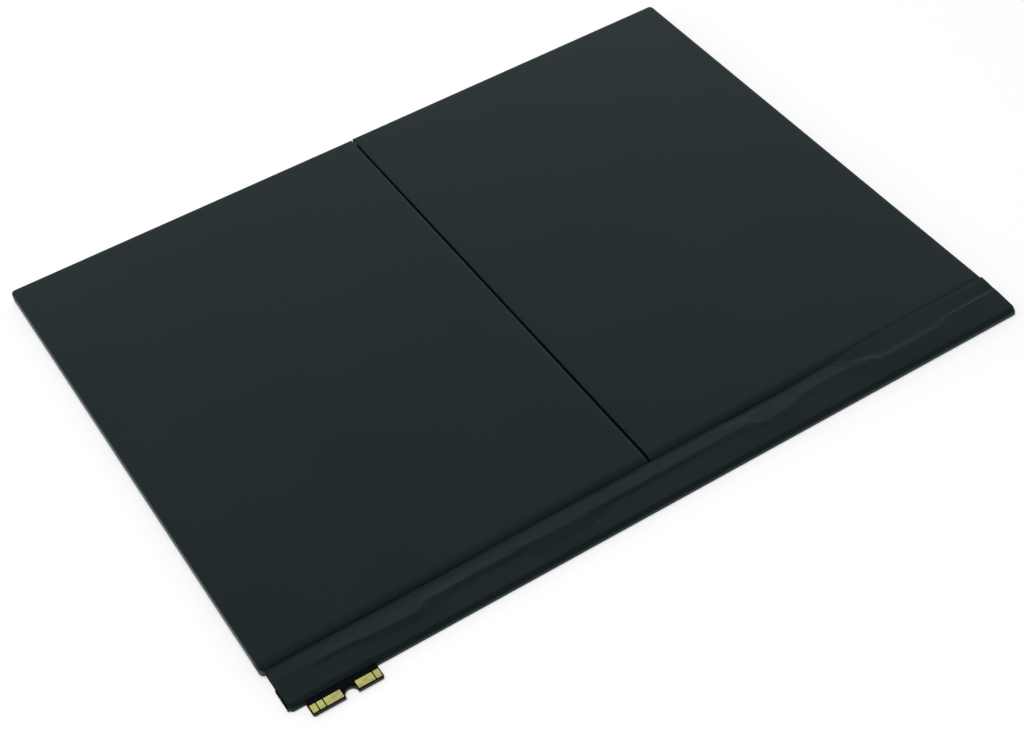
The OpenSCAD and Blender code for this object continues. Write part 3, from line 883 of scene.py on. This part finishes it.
aluminium = plain_metal("aluminium_tab", colour(196, 200, 204), colour(222, 224, 226), 0.28)
nickel = plain_metal("nickel_tab", colour(168, 166, 158), colour(196, 194, 186), 0.34)
film = plain_body("sealing_film", colour(206, 200, 182), colour(224, 220, 206), 0.4, 0.8, 0.004)
chip = plain_body("chip_black", colour(34, 34, 36), colour(46, 46, 48), 0.55, 0.1, 0.003)
tan = colour(160, 122, 84)
capacitor = plain_body("capacitor_tan", tan, colour(186, 150, 108), 0.45, 0.2, 0.003)
resistor = plain_body("resistor_black", colour(24, 24, 27), colour(38, 38, 42), 0.3, 0.3, 0.002)
fuse = plain_body("fuse_white", colour(214, 210, 198), colour(228, 226, 218), 0.5, 0.2, 0.003)
amber = plain_body("amber_tape", colour(172, 108, 22), colour(202, 138, 40), 0.25, 3, 0.005)
foam = plain_body("foam_grey", colour(44, 46, 49), colour(66, 69, 72), 0.85, 0.3, 0.06)
inner_finishes = {
    "left_positive_tab": aluminium,
    "right_positive_tab": aluminium,
    "left_negative_tab": nickel,
    "right_negative_tab": nickel,
    "tab_sealing_films": film,
    "weld_plates": nickel,
    "power_transistors": chip,
    "fuel_gauge_chip": chip,
    "protection_chip": chip,
    "sense_resistor": resistor,
    "chip_fuse": fuse,
    "chip_capacitors": capacitor,
    "chip_resistors": resistor,
    "thermistors": resistor,
    "left_terrace_insulator": amber,
    "right_terrace_insulator": amber,
    "left_foam_strip": foam,
    "right_foam_strip": foam,
    "component_cover_tape": amber,
}
for node, material in inner_finishes.items():
    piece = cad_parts[node]
    piece.data.materials.clear()
    piece.data.materials.append(material)


# The floor and the light: a wide white floor, a sky that is pale at the horizon and dim above,
# and one large soft lamp. The film mirrors the sky, which shades its folds.
floor_wide = 14
floor_lift = 0.25
horizon_sharpness = 1.3
horizon_strength = 1.28
zenith_strength = 0.07
dark_from, bright_from = -0.8, 0.35
lamp_place = (-0.35, 0.1, 1.85)
lamp_wide = 1.5
lamp_power = 22

bpy.ops.object.select_all(action="DESELECT")
bpy.ops.mesh.primitive_plane_add(size=floor_wide)
floor = bpy.context.object
floor.name = "floor"
floor_finish = Finish("white_floor")
path = floor_finish.add("ShaderNodeLightPath")
seen = Number(floor_finish, path.outputs["Is Camera Ray"])
seen += Number(floor_finish, path.outputs["Is Glossy Ray"])
seen += Number(floor_finish, path.outputs["Is Transmission Ray"])
seen = seen.clamped()
floor_finish.set(
    Base_Color=colour(250, 250, 250),
    Roughness=0.9,
    Specular_IOR_Level=0.1,
    Emission_Color=floor_finish.mix(seen, (0, 0, 0, 1), (floor_lift, floor_lift, floor_lift, 1)),
    Emission_Strength=1.0,
)
floor.data.materials.append(floor_finish.material)

world = bpy.data.worlds.new("studio")
bpy.context.scene.world = world
world.use_nodes = True
sky = world.node_tree


def sky_node(kind, settings=None, *values):
    node = sky.nodes.new(kind)
    for key, value in (settings or {}).items():
        setattr(node, key, value)
    for index, value in enumerate(values):
        if isinstance(value, bpy.types.NodeSocket):
            sky.links.new(value, node.inputs[index])
        else:
            node.inputs[index].default_value = value
    return node.outputs[0]


direction = sky.nodes.new("ShaderNodeTexCoord").outputs["Generated"]
split = sky.nodes.new("ShaderNodeSeparateXYZ")
sky.links.new(direction, split.inputs[0])
ahead, upward = split.outputs[1], split.outputs[2]
clamp = {"clamp": True}
lowness = sky_node("ShaderNodeMapRange", clamp, upward, 0.0, 1.0, 1.0, 0.0)
glow = sky_node("ShaderNodeMath", {"operation": "POWER"}, lowness, horizon_sharpness)
behind = sky_node("ShaderNodeMapRange", clamp, ahead, dark_from, bright_from, 0.0, 1.0)
shaded = sky_node("ShaderNodeMath", {"operation": "MULTIPLY"}, glow, behind)
strength = sky_node(
    "ShaderNodeMath", {"operation": "MULTIPLY_ADD"}, shaded, horizon_strength, zenith_strength
)
sky.links.new(strength, sky.nodes["Background"].inputs["Strength"])
sky.nodes["Background"].inputs["Color"].default_value = (1, 1, 1, 1)

lamp = bpy.data.objects.new("top_lamp", bpy.data.lights.new("top_lamp", "AREA"))
bpy.context.scene.collection.objects.link(lamp)
lamp.data.shape = "DISK"
lamp.data.size = lamp_wide
lamp.data.energy = lamp_power
lamp.location = lamp_place
lamp.rotation_euler = (-Vector(lamp_place)).to_track_quat("-Z", "Y").to_euler()
lamp.visible_glossy = False
